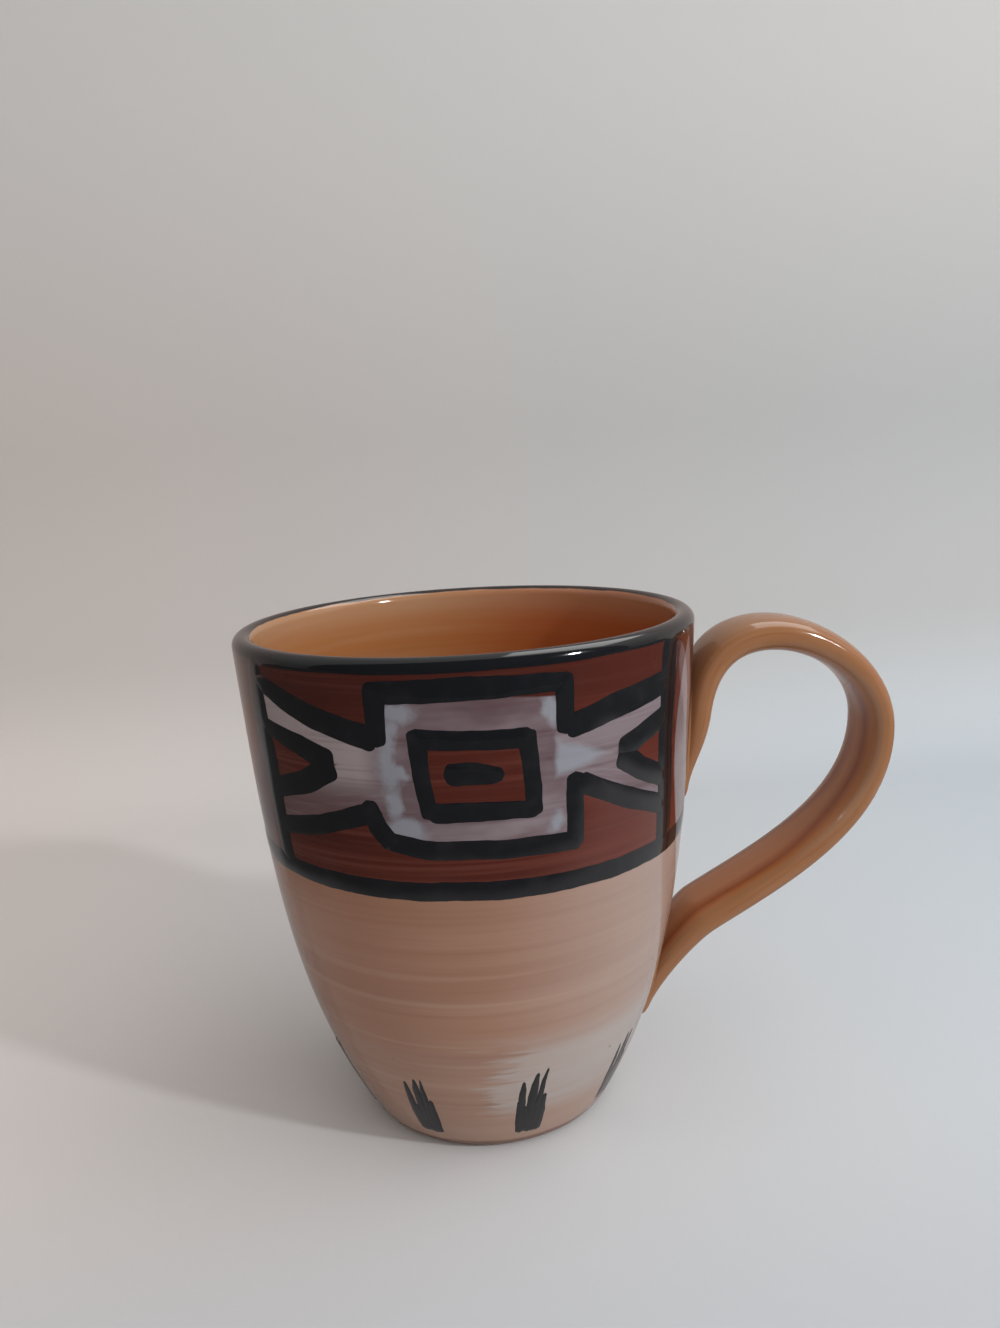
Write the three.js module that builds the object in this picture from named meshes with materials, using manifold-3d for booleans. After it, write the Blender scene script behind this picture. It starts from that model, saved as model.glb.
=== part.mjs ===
// A hand-thrown glazed mug: a turned cup, a pulled strap handle and the two beds of clay slip that hold it.
// Millimetres, +Z up. The origin is the centre of the foot, and the handle lies along +X.
import * as THREE from "three";
import { mergeVertices } from "three/addons/utils/BufferGeometryUtils.js";
import Module from "manifold-3d";

const wasm = await Module();
wasm.setup();

// Cup: the wall is one curve from the foot's bevel to the rim, drawn by two pulls
const cupHeight = 100;
const rimRadius = 44.6;
const footRadius = 22.3;
const bevelRadius = 25.4;
const bevelHeight = 2.5;
const bellyPullRadius = 40.5;
const bellyPullHeight = 29;
const shoulderPullRadius = 42;
const shoulderPullDrop = 40.7;
const wallThickness = 4;
const floorThickness = 6.5;
const floorCornerReach = 13;
const floorCornerRise = 16;

// Handle: knots along the strap's middle line, each with its place, its slant and the pull of its curves
const upperTailDrop = 36.6;
const upperTailPull = 4.3;
const rootDrop = 22;
const rootLift = 1.85;
const rootLean = THREE.MathUtils.degToRad(4.7);
const rootPullBefore = 6;
const rootPullAfter = 5;
const crownDrop = 7.3;
const crownReach = 15.2;
const crownPullBefore = 11.8;
const crownPullAfter = 10.7;
const bowDrop = 27;
const bowReach = 37.6;
const bowPullBefore = 11;
const bowPullAfter = 20.3;
const heelHeight = 34.8;
const heelReach = 8.2;
const heelSlant = THREE.MathUtils.degToRad(30);
const heelPullBefore = 15.9;
const heelPullAfter = 5;
const lowerTailHeight = 17;
const lowerTailPull = 6;
const tailSink = 0.4;
const tailDive = THREE.MathUtils.degToRad(4);
const tailTip = 4.5;

// Strap section at those knots, a rounded oval
const tailWidth = 13;
const rootWidth = 15.7;
const crownWidth = 15;
const bowWidth = 17.5;
const heelWidth = 17.5;
const upperTailThickness = 3.2;
const rootThickness = 6;
const crownThickness = 6.9;
const bowThickness = 5.6;
const heelThickness = 6.6;
const lowerTailThickness = 4.6;
const ovalExponent = 2.6;

// Slip joint: a thin bed between wall and strap, squeezed out past the strap's edge
const slipThickness = 0.7;
const slipBead = 1.4;
const seatGap = 0.3;

// Fineness
const turnSteps = 72;
const wallSteps = 16;
const insideSteps = 12;
const footSteps = 4;
const lipSteps = 8;
const cornerSteps = 7;
const strapSteps = 10;
const tipSteps = 4;
const ovalSteps = 24;
const halvings = 40;
const mergeDistance = 1e-4;

const lipRadius = wallThickness / 2;
const wallTop = cupHeight - lipRadius;
const wallCurve = new THREE.CubicBezierCurve(
  new THREE.Vector2(bevelRadius, bevelHeight),
  new THREE.Vector2(bellyPullRadius, bellyPullHeight),
  new THREE.Vector2(shoulderPullRadius, cupHeight - shoulderPullDrop),
  new THREE.Vector2(rimRadius, wallTop),
);

// The wall curve's parameter at a height, by halving
function wallParameter(height) {
  let low = 0;
  let high = 1;
  for (let i = 0; i < halvings; i += 1) {
    const middle = (low + high) / 2;
    if (wallCurve.getPoint(middle).y < height) low = middle;
    else high = middle;
  }
  return (low + high) / 2;
}

// A triangle mesh as a solid that can be joined and cut
function solidOf(geometry) {
  const bare = geometry.clone();
  bare.deleteAttribute("normal");
  bare.deleteAttribute("uv");
  const merged = mergeVertices(bare, mergeDistance);
  return new wasm.Manifold(
    new wasm.Mesh({
      numProp: 3,
      vertProperties: new Float32Array(merged.attributes.position.array),
      triVerts: new Uint32Array(merged.index.array),
    }),
  );
}

// A solid back as a triangle mesh
function geometryOf(solid) {
  const mesh = solid.getMesh();
  const geometry = new THREE.BufferGeometry();
  geometry.setAttribute("position", new THREE.BufferAttribute(new Float32Array(mesh.vertProperties), 3));
  geometry.setIndex(new THREE.BufferAttribute(new Uint32Array(mesh.triVerts), 1));
  geometry.computeVertexNormals();
  return geometry;
}

// A profile of radius and height turned about the mug's axis
function turned(profile) {
  const lathe = new THREE.LatheGeometry(profile, turnSteps);
  lathe.rotateX(Math.PI / 2);
  return lathe;
}

// Cup profile: foot, bevel, wall, rounded lip, then down the inside to the floor
function cupGeometry() {
  const cornerParameter = wallParameter(floorThickness + floorCornerRise);
  const insideWall = [];
  for (let i = 0; i <= insideSteps; i += 1) {
    const point = wallCurve.getPoint(THREE.MathUtils.lerp(1, cornerParameter, i / insideSteps));
    insideWall.push(new THREE.Vector2(point.x - wallThickness, point.y));
  }
  const cornerStart = insideWall[insideSteps];
  const lip = new THREE.Path().absarc(rimRadius - lipRadius, wallTop, lipRadius, 0, Math.PI);
  const corner = new THREE.QuadraticBezierCurve(
    cornerStart,
    new THREE.Vector2(wallCurve.getPoint(wallParameter(floorThickness)).x - wallThickness, floorThickness),
    new THREE.Vector2(cornerStart.x - floorCornerReach, floorThickness),
  );
  const wallStart = wallCurve.getTangent(0);
  const foot = new THREE.QuadraticBezierCurve(
    new THREE.Vector2(footRadius, 0),
    new THREE.Vector2(bevelRadius - (wallStart.x / wallStart.y) * bevelHeight, 0),
    new THREE.Vector2(bevelRadius, bevelHeight),
  );
  const profile = [
    new THREE.Vector2(0, 0),
    ...foot.getPoints(footSteps).slice(0, -1),
    ...wallCurve.getPoints(wallSteps),
    ...lip.getPoints(lipSteps).slice(1, -1),
    ...insideWall,
    ...corner.getPoints(cornerSteps).slice(1),
    new THREE.Vector2(0, floorThickness),
  ];
  return turned(profile);
}

// The space that the wall takes up, grown outward, run past the rim and the foot
function wallCore(growth) {
  const margin = cupHeight;
  const points = wallCurve.getPoints(wallSteps).map((point) => new THREE.Vector2(point.x + growth, point.y));
  return solidOf(
    turned([
      new THREE.Vector2(0, -margin),
      new THREE.Vector2(points[0].x, -margin),
      ...points,
      new THREE.Vector2(rimRadius + growth, cupHeight + margin),
      new THREE.Vector2(0, cupHeight + margin),
    ]),
  );
}

// A place off the wall at a height, and the wall's upward slant there, leaned outward
function offWall(height, lift, lean) {
  const parameter = wallParameter(height);
  const slant = wallCurve.getTangent(parameter);
  const at = wallCurve.getPoint(parameter).add(new THREE.Vector2(lift, 0));
  return { at, slant: slant.rotateAround(new THREE.Vector2(), -lean) };
}

function knot(at, along, before, after, width, thickness) {
  return { at, along, before, after, width, thickness };
}

function strapKnots() {
  const upperTail = offWall(cupHeight - upperTailDrop, -tailSink, tailDive);
  const root = offWall(cupHeight - rootDrop, rootLift, rootLean);
  const crown = new THREE.Vector2(rimRadius + crownReach, cupHeight - crownDrop);
  const bow = new THREE.Vector2(rimRadius + bowReach, cupHeight - bowDrop);
  const heel = offWall(heelHeight, heelReach, 0);
  const lowerTail = offWall(lowerTailHeight, -tailSink, tailDive);
  const outward = new THREE.Vector2(1, 0);
  const downward = new THREE.Vector2(0, -1);
  const homeward = new THREE.Vector2(-Math.cos(heelSlant), -Math.sin(heelSlant));
  const down = lowerTail.slant.negate();
  return [
    knot(upperTail.at, upperTail.slant, upperTailPull, upperTailPull, tailWidth, upperTailThickness),
    knot(root.at, root.slant, rootPullBefore, rootPullAfter, rootWidth, rootThickness),
    knot(crown, outward, crownPullBefore, crownPullAfter, crownWidth, crownThickness),
    knot(bow, downward, bowPullBefore, bowPullAfter, bowWidth, bowThickness),
    knot(heel.at, homeward, heelPullBefore, heelPullAfter, heelWidth, heelThickness),
    knot(lowerTail.at, down, lowerTailPull, lowerTailPull, tailWidth, lowerTailThickness),
  ];
}

// One oval ring of points round the middle line, in the strap's plane and across it
function ovalRing(centre, along, width, thickness) {
  const ring = [];
  for (let i = 0; i < ovalSteps; i += 1) {
    const angle = (i / ovalSteps) * Math.PI * 2;
    const power = 2 / ovalExponent;
    const up = Math.sign(Math.cos(angle)) * Math.abs(Math.cos(angle)) ** power * (thickness / 2);
    const across = Math.sign(Math.sin(angle)) * Math.abs(Math.sin(angle)) ** power * (width / 2);
    ring.push(new THREE.Vector3(centre.x - along.y * up, across, centre.y + along.x * up));
  }
  return ring;
}

// Rings joined into a closed skin with a fan of triangles at each end
function skin(rings) {
  const position = rings.flat().flatMap((point) => point.toArray());
  const index = [];
  const last = (rings.length - 1) * ovalSteps;
  for (let r = 0; r + 1 < rings.length; r += 1) {
    for (let i = 0; i < ovalSteps; i += 1) {
      const next = (i + 1) % ovalSteps;
      const a = r * ovalSteps + i;
      const b = r * ovalSteps + next;
      index.push(a, a + ovalSteps, b, b, a + ovalSteps, b + ovalSteps);
    }
  }
  for (let i = 1; i + 1 < ovalSteps; i += 1) {
    index.push(0, i, i + 1, last, last + i + 1, last + i);
  }
  const geometry = new THREE.BufferGeometry();
  geometry.setAttribute("position", new THREE.Float32BufferAttribute(position, 3));
  geometry.setIndex(index);
  return geometry;
}

// Rings that round off a tail's tip, from the knot outwards
function tipRings(end, outwards, bead) {
  const rings = [];
  for (let i = 1; i <= tipSteps; i += 1) {
    const angle = (i / (tipSteps + 1)) * (Math.PI / 2);
    const centre = end.at.clone().addScaledVector(end.along, outwards * (tailTip + bead) * Math.sin(angle));
    const share = Math.cos(angle);
    const width = (end.width + 2 * bead) * share;
    const thickness = (end.thickness + 2 * bead) * share;
    rings.push(ovalRing(centre, end.along, width, thickness));
  }
  return rings;
}

// The strap from one knot to a later one, grown all round by a bead
function strap(first, last, bead) {
  const knots = strapKnots();
  const rings = first === 0 ? tipRings(knots[0], -1, bead).reverse() : [];
  for (let k = first; k < last; k += 1) {
    const start = knots[k];
    const end = knots[k + 1];
    const curve = new THREE.CubicBezierCurve(
      start.at,
      start.at.clone().addScaledVector(start.along, start.after),
      end.at.clone().addScaledVector(end.along, -end.before),
      end.at,
    );
    const from = k === first ? 0 : 1;
    for (let i = from; i <= strapSteps; i += 1) {
      const t = i / strapSteps;
      const share = THREE.MathUtils.smoothstep(t, 0, 1);
      const width = THREE.MathUtils.lerp(start.width, end.width, share) + 2 * bead;
      const thickness = THREE.MathUtils.lerp(start.thickness, end.thickness, share) + 2 * bead;
      rings.push(ovalRing(curve.getPoint(t), curve.getTangent(t), width, thickness));
    }
  }
  if (last === knots.length - 1) rings.push(...tipRings(knots[last], 1, bead));
  return solidOf(skin(rings));
}

const slipInner = wallCore(seatGap);
const slipOuter = wallCore(seatGap + slipThickness);
const strapSeat = wallCore(2 * seatGap + slipThickness);

function slipBed(first, last) {
  return geometryOf(strap(first, last, slipBead).intersect(slipOuter).subtract(slipInner));
}

const ochreGlaze = { color: 0xb98560, roughness: 0.22, metalness: 0 };
const caramelGlaze = { color: 0xa8744c, roughness: 0.2, metalness: 0 };
const slipClay = { color: 0xc79f84, roughness: 0.35, metalness: 0 };

function piece(name, geometry, finish) {
  const mesh = new THREE.Mesh(geometry, new THREE.MeshStandardMaterial(finish));
  mesh.name = name;
  return mesh;
}

const mug = new THREE.Group();
mug.add(piece("cup_body", cupGeometry(), ochreGlaze));
mug.add(piece("handle", geometryOf(strap(0, 5, 0).subtract(strapSeat)), caramelGlaze));
mug.add(piece("upper_slip_joint", slipBed(0, 2), slipClay));
mug.add(piece("lower_slip_joint", slipBed(4, 5), slipClay));

export default mug;
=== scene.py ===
# A hand-painted glazed mug: turned cup, pulled strap handle, joint fillets and raised brush strokes. Metres.
import math
import random

import bpy
from mathutils import Matrix, Vector
from mathutils.bvhtree import BVHTree


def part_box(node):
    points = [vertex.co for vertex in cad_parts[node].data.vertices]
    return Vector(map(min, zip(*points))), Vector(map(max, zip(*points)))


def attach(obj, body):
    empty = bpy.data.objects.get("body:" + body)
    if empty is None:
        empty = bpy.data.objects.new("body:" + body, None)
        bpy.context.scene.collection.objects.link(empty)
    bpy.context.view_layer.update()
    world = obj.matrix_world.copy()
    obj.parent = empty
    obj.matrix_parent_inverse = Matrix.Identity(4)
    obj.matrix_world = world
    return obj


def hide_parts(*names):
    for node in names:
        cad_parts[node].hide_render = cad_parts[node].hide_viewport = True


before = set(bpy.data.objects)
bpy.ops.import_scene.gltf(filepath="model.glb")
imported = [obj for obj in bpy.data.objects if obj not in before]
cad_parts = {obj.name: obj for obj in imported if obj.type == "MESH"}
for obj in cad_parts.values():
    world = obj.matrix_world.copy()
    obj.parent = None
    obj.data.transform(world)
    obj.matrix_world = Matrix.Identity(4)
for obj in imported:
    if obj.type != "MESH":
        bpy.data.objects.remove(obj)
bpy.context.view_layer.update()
mm = 0.001
scene = bpy.context.scene


# Node writing: a wire is one socket, and maths on wires adds Math nodes
class Wire:
    def __init__(self, graph, socket):
        self.graph = graph
        self.socket = socket

    def __neg__(self):
        return self.graph.math("MULTIPLY", self, -1.0)

    def __abs__(self):
        return self.graph.math("ABSOLUTE", self)


def addOperator(name, operation):
    setattr(Wire, f"__{name}__", lambda self, other: self.graph.math(operation, self, other))
    setattr(Wire, f"__r{name}__", lambda self, other: self.graph.math(operation, other, self))


for name, operation in {"add": "ADD", "sub": "SUBTRACT", "mul": "MULTIPLY", "truediv": "DIVIDE"}.items():
    addOperator(name, operation)


class Graph:
    def __init__(self, tree):
        self.tree = tree

    def node(self, kind, settings=None, sockets=None):
        node = self.tree.nodes.new(kind)
        for name, value in (settings or {}).items():
            setattr(node, name, value)
        for name, value in (sockets or {}).items():
            if isinstance(value, Wire):
                self.tree.links.new(value.socket, node.inputs[name])
            else:
                node.inputs[name].default_value = value
        return node

    def wire(self, kind, settings=None, sockets=None, out=0):
        return Wire(self, self.node(kind, settings, sockets).outputs[out])

    def math(self, operation, *values):
        return self.wire("ShaderNodeMath", {"operation": operation}, dict(enumerate(values)))

    def fold(self, operation, values):
        result = values[0]
        for value in values[1:]:
            result = self.math(operation, result, value)
        return result

    def least(self, *values):
        return self.fold("MINIMUM", values)

    def most(self, *values):
        return self.fold("MAXIMUM", values)

    # 0 at low, 1 at high, with soft ends. Low may be the larger
    def step(self, value, low, high):
        sockets = {"Value": value, "From Min": low, "From Max": high}
        return self.wire("ShaderNodeMapRange", {"interpolation_type": "SMOOTHSTEP"}, sockets)

    def vector(self, x, y, z):
        return self.wire("ShaderNodeCombineXYZ", None, {0: x, 1: y, 2: z})

    def split(self, vector):
        node = self.node("ShaderNodeSeparateXYZ", None, {0: vector})
        return [Wire(self, output) for output in node.outputs]

    def vectorMath(self, operation, *values):
        sockets = {}
        for index, value in enumerate(values):
            sockets["Scale" if operation == "SCALE" and index == 1 else index] = value
        return self.wire("ShaderNodeVectorMath", {"operation": operation}, sockets)

    def noise(self, vector, scale=1.0, detail=2.0, roughness=0.5, out=0):
        sockets = {"Vector": vector, "Scale": scale, "Detail": detail, "Roughness": roughness}
        return self.wire("ShaderNodeTexNoise", None, sockets, out)

    def blend(self, factor, first, second):
        first, second = [value if isinstance(value, Wire) else (*value, 1.0) for value in (first, second)]
        return self.wire("ShaderNodeMix", {"data_type": "RGBA"}, {0: factor, 6: first, 7: second}, 2)

    # Coats over a colour, each with where it lies if not all over, mask, start, full, strength and colour
    def coated(self, base, coats, masks, colours):
        for *where, mask, start, full, strength, over in coats:
            share = self.step(masks[mask], start, full) * strength
            for label in where:
                share = masks[label] * share
            base = self.blend(share, base, colours[over])
        return base

    # Values kept on a mesh, as a shader and as geometry nodes read them
    def attribute(self, label):
        return self.wire("ShaderNodeAttribute", {"attribute_name": label}, out="Fac")

    def named(self, label):
        return self.wire("GeometryNodeInputNamedAttribute", {"data_type": "FLOAT"}, {"Name": label})

    def store(self, geometry, label, value, kind="FLOAT", domain="POINT"):
        sockets = {0: geometry, "Name": label, "Value": value}
        return self.wire("GeometryNodeStoreNamedAttribute", {"data_type": kind, "domain": domain}, sockets)


def newMaterial(name):
    material = bpy.data.materials.new(name)
    material.use_nodes = True
    material.node_tree.nodes.clear()
    graph = Graph(material.node_tree)
    return material, graph, graph.wire("ShaderNodeTexCoord", out="Object")


def finishMaterial(graph, sockets):
    shader = graph.node("ShaderNodeBsdfPrincipled", None, sockets)
    output = graph.node("ShaderNodeOutputMaterial")
    graph.tree.links.new(shader.outputs[0], output.inputs[0])


def newTree(name, inputs):
    tree = bpy.data.node_groups.new(name, "GeometryNodeTree")
    tree.interface.new_socket("Geometry", in_out="INPUT", socket_type="NodeSocketGeometry")
    for label, kind in inputs.items():
        tree.interface.new_socket(label, in_out="INPUT", socket_type="NodeSocket" + kind)
    tree.interface.new_socket("Geometry", in_out="OUTPUT", socket_type="NodeSocketGeometry")
    graph = Graph(tree)
    source = graph.node("NodeGroupInput")
    return graph, {output.name: Wire(graph, output) for output in source.outputs if output.name}


def endTree(graph, geometry, material):
    smooth = graph.wire("GeometryNodeSetShadeSmooth", None, {0: geometry})
    real = graph.wire("GeometryNodeRealizeInstances", None, {0: smooth})
    painted = graph.wire("GeometryNodeSetMaterial", None, {0: real, "Material": material})
    graph.node("NodeGroupOutput", None, {0: painted})
    return graph.tree


def newObject(name, mesh):
    piece = bpy.data.objects.new(name, mesh)
    scene.collection.objects.link(piece)
    return piece


def setValues(mesh, values):
    for label, numbers in values.items():
        mesh.attributes.new(label, "FLOAT", "POINT").data.foreach_set("value", numbers)


def pathMesh(name, paths, values):
    mesh = bpy.data.meshes.new(name)
    points = []
    edges = []
    for path in paths:
        first = len(points)
        points.extend(path)
        edges.extend((i, i + 1) for i in range(first, len(points) - 1))
    mesh.from_pydata(points, edges, [])
    setValues(mesh, values)
    return mesh


# Runs a tree on an object, with those values that it has inputs for, and keeps the plain mesh that it gives
def growMesh(piece, tree, values):
    modifier = piece.modifiers.new("grow", "NODES")
    modifier.node_group = tree
    for item in tree.interface.items_tree:
        if item.in_out == "INPUT" and item.name in values:
            modifier[item.identifier] = values[item.name]
    depsgraph = bpy.context.evaluated_depsgraph_get()
    mesh = bpy.data.meshes.new_from_object(piece.evaluated_get(depsgraph), depsgraph=depsgraph)
    piece.modifiers.clear()
    old = piece.data
    piece.data = mesh
    mesh.name = piece.name
    bpy.data.meshes.remove(old)
    return piece


# Curves in the plane of radius and height
def lerp(start, end, share):
    return start + (end - start) * share


def cubic(points, t):
    a, b, c, d = points
    return a * (1 - t) ** 3 + b * (3 * t * (1 - t) ** 2) + c * (3 * t * t * (1 - t)) + d * t ** 3


def cubicSlope(points, t):
    a, b, c, d = points
    slope = (b - a) * (3 * (1 - t) ** 2) + (c - b) * (6 * t * (1 - t)) + (d - c) * (3 * t * t)
    return slope.normalized()


def quadratic(points, t):
    a, b, c = points
    return a * (1 - t) ** 2 + b * (2 * t * (1 - t)) + c * t * t


# Cup
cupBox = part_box("cup_body")
cup = {
    "height": cupBox[1].z,
    "rimRadius": cupBox[1].x,
    "footRadius": 22.3 * mm,
    "bevelRadius": 25.4 * mm,
    "bevelHeight": 2.5 * mm,
    "bellyPull": Vector((40.5, 29.0)) * mm,
    "shoulderPullRadius": 42.0 * mm,
    "shoulderPullDrop": 40.7 * mm,
    "wallThickness": 4.0 * mm,
    "floorThickness": 6.5 * mm,
    "floorCornerReach": 13.0 * mm,
    "floorCornerRise": 16.0 * mm,
    "turnSteps": 256,
    "wallSteps": 84,
    "insideSteps": 60,
    "lipSteps": 9,
    "footSteps": 8,
    "cornerSteps": 16,
    "floorSteps": 5,
    "ridgeDepth": 0.05 * mm,
    "ridgePitch": 2.6 * mm,
    "ridgeSway": 0.6,
    "ridgeFade": (2 * mm, 12 * mm),
    "mergeDistance": 0.001 * mm,
}
lipRadius = cup["wallThickness"] / 2
wallCurve = [
    Vector((cup["bevelRadius"], cup["bevelHeight"])),
    cup["bellyPull"],
    Vector((cup["shoulderPullRadius"], cup["height"] - cup["shoulderPullDrop"])),
    Vector((cup["rimRadius"], cup["height"] - lipRadius)),
]


def wallParameter(height):
    low, high = 0.0, 1.0
    for _ in range(40):
        middle = (low + high) / 2
        if cubic(wallCurve, middle).y < height:
            low = middle
        else:
            high = middle
    return (low + high) / 2


def wallRadius(height):
    return cubic(wallCurve, wallParameter(height)).x


def steps(count, curve):
    return [curve(i / count) for i in range(count)]


# The cup's profile in two parts: foot to the crest of the lip, and down the inside to the middle of the floor
def cupProfile():
    inward = Vector((cup["wallThickness"], 0))
    cornerHeight = cup["floorThickness"] + cup["floorCornerRise"]
    cornerParameter = wallParameter(cornerHeight)
    cornerStart = cubic(wallCurve, cornerParameter) - inward
    cornerPull = Vector((wallRadius(cup["floorThickness"]) - inward.x, cup["floorThickness"]))
    cornerEnd = Vector((cornerStart.x - cup["floorCornerReach"], cup["floorThickness"]))
    footStart = Vector((cup["footRadius"], 0))
    lean = cubicSlope(wallCurve, 0)
    footPull = Vector((cup["bevelRadius"] - lean.x / lean.y * cup["bevelHeight"], 0))
    lipMiddle = wallCurve[3] - Vector((lipRadius, 0))

    def lip(share):
        angle = math.pi * share
        return lipMiddle + Vector((math.cos(angle), math.sin(angle))) * lipRadius

    outside = steps(cup["floorSteps"], lambda t: footStart * t)
    outside += steps(cup["footSteps"], lambda t: quadratic([footStart, footPull, wallCurve[0]], t))
    outside += steps(cup["wallSteps"], lambda t: cubic(wallCurve, t))
    outside += steps(cup["lipSteps"], lambda t: lip(t / 2))
    inside = steps(cup["lipSteps"], lambda t: lip((1 + t) / 2))
    inside += steps(cup["insideSteps"], lambda t: cubic(wallCurve, lerp(1, cornerParameter, t)) - inward)
    inside += steps(cup["cornerSteps"], lambda t: quadratic([cornerStart, cornerPull, cornerEnd], t))
    inside += steps(cup["floorSteps"], lambda t: cornerEnd.lerp(Vector((0, cup["floorThickness"])), t))
    inside.append(Vector((0, cup["floorThickness"])))
    return outside, inside


def shares(points):
    lengths = [0.0]
    for before, after in zip(points, points[1:]):
        lengths.append(lengths[-1] + (after - before).length)
    return [length / lengths[-1] for length in lengths]


def turnedCupTree(material):
    inputs = {"profile": "Object", "profilePoints": "Int", "turnSteps": "Int", "ridgeDepth": "Float",
              "ridgePitch": "Float", "mergeDistance": "Float"}
    graph, given = newTree("turnedCup", inputs)
    profile = graph.wire("GeometryNodeObjectInfo", None, {"Object": given["profile"]}, "Geometry")
    sockets = {"Vertices X": given["turnSteps"] + 1, "Vertices Y": given["profilePoints"]}
    grid = graph.node("GeometryNodeMeshGrid", None, sockets)
    index = graph.wire("GeometryNodeInputIndex")
    row = graph.math("MODULO", index, given["profilePoints"])
    turn = graph.math("FLOOR", (index + 0.5) / given["profilePoints"])
    position = graph.wire("GeometryNodeInputPosition")

    def sampled(kind, value):
        sockets = {0: profile, "Value": value, "Index": row}
        return graph.wire("GeometryNodeSampleIndex", {"data_type": kind, "domain": "POINT"}, sockets)

    radius, _, height = graph.split(sampled("FLOAT_VECTOR", position))
    share = sampled("FLOAT", graph.named("share"))
    inner = sampled("FLOAT", graph.named("inner"))
    angle = turn / given["turnSteps"] * (2 * math.pi)
    cosine = graph.math("COSINE", angle)
    sine = graph.math("SINE", angle)
    # Faint turning marks, even around the cup and fading at the axis
    sway = cup["ridgeSway"]
    spot = graph.vector(cosine * sway, sine * sway, height / given["ridgePitch"])
    marks = graph.noise(spot, 1.0, 1.0) - 0.5
    fade = graph.step(radius, *cup["ridgeFade"])
    wide = radius + marks * given["ridgeDepth"] * fade
    place = graph.vector(wide * cosine, wide * sine, height)
    mesh = graph.wire("GeometryNodeSetPosition", None, {0: Wire(graph, grid.outputs[0]), "Position": place})
    mesh = graph.store(mesh, "inner", inner)
    across = graph.split(Wire(graph, grid.outputs[1]))[0]
    onCorner = graph.wire("GeometryNodeFieldOnDomain", {"data_type": "FLOAT", "domain": "POINT"}, {0: share})
    mesh = graph.store(mesh, "OFBake", graph.vector(across, onCorner, 0.0), "FLOAT2", "CORNER")
    mesh = graph.wire("GeometryNodeMergeByDistance", None, {0: mesh, "Distance": given["mergeDistance"]})
    return endTree(graph, mesh, material)


def makeCup(material):
    outside, inside = cupProfile()
    points = outside + inside
    values = {"share": shares(points), "inner": [0.0] * len(outside) + [1.0] * len(inside)}
    profile = newObject("cupProfile", pathMesh("cupProfile", [[(p.x, 0, p.y) for p in points]], values))
    piece = newObject("glazed_cup", bpy.data.meshes.new("glazed_cup"))
    growMesh(piece, turnedCupTree(material), {"profile": profile, "profilePoints": len(points), **cup})
    bpy.data.objects.remove(profile)
    return piece


# Handle strap: the same knots as the solid's, with finer rings
strap = {
    "upperTailDrop": 36.6 * mm, "upperTailPull": 4.3 * mm,
    "rootDrop": 22.0 * mm, "rootLift": 1.85 * mm, "rootLean": math.radians(4.7),
    "rootPulls": (6.0 * mm, 5.0 * mm),
    "crownDrop": 7.3 * mm, "crownReach": 15.2 * mm, "crownPulls": (11.8 * mm, 10.7 * mm),
    "bowDrop": 27.0 * mm, "bowReach": 37.6 * mm, "bowPulls": (11.0 * mm, 20.3 * mm),
    "heelHeight": 34.8 * mm, "heelReach": 8.2 * mm, "heelSlant": math.radians(30),
    "heelPulls": (15.9 * mm, 5.0 * mm),
    "lowerTailHeight": 17.0 * mm, "lowerTailPull": 6.0 * mm,
    "tailSink": 0.4 * mm, "tailDive": math.radians(4), "tailTip": 4.5 * mm,
    "widths": [13.0 * mm, 15.7 * mm, 15.0 * mm, 17.5 * mm, 17.5 * mm, 13.0 * mm],
    "thicknesses": [3.2 * mm, 6.0 * mm, 6.9 * mm, 5.6 * mm, 6.6 * mm, 4.6 * mm],
    "ovalExponent": 2.6,
    "spanSteps": 36,
    "tipSteps": 10,
    "tipRest": 0.2,
    "ovalSteps": 64,
}
ovalAngles = [i / strap["ovalSteps"] * 2 * math.pi for i in range(strap["ovalSteps"])]


def offWall(height, lift, lean):
    parameter = wallParameter(height)
    slant = cubicSlope(wallCurve, parameter)
    slant.rotate(Matrix.Rotation(-lean, 2))
    return cubic(wallCurve, parameter) + Vector((lift, 0)), slant


# Knots as place, direction, pull before and pull after
def strapKnots():
    top = cup["height"]
    rim = cup["rimRadius"]
    sink = -strap["tailSink"]
    dive = strap["tailDive"]
    slant = strap["heelSlant"]
    upperAt, upperAlong = offWall(top - strap["upperTailDrop"], sink, dive)
    rootAt, rootAlong = offWall(top - strap["rootDrop"], strap["rootLift"], strap["rootLean"])
    heelAt, _ = offWall(strap["heelHeight"], strap["heelReach"], 0)
    lowerAt, lowerAlong = offWall(strap["lowerTailHeight"], sink, dive)
    crownAt = Vector((rim + strap["crownReach"], top - strap["crownDrop"]))
    bowAt = Vector((rim + strap["bowReach"], top - strap["bowDrop"]))
    homeward = Vector((-math.cos(slant), -math.sin(slant)))
    upperPulls = (strap["upperTailPull"],) * 2
    lowerPulls = (strap["lowerTailPull"],) * 2
    return [
        (upperAt, upperAlong, upperPulls),
        (rootAt, rootAlong, strap["rootPulls"]),
        (crownAt, Vector((1, 0)), strap["crownPulls"]),
        (bowAt, Vector((0, -1)), strap["bowPulls"]),
        (heelAt, homeward, strap["heelPulls"]),
        (lowerAt, -lowerAlong, lowerPulls),
    ]


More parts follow.
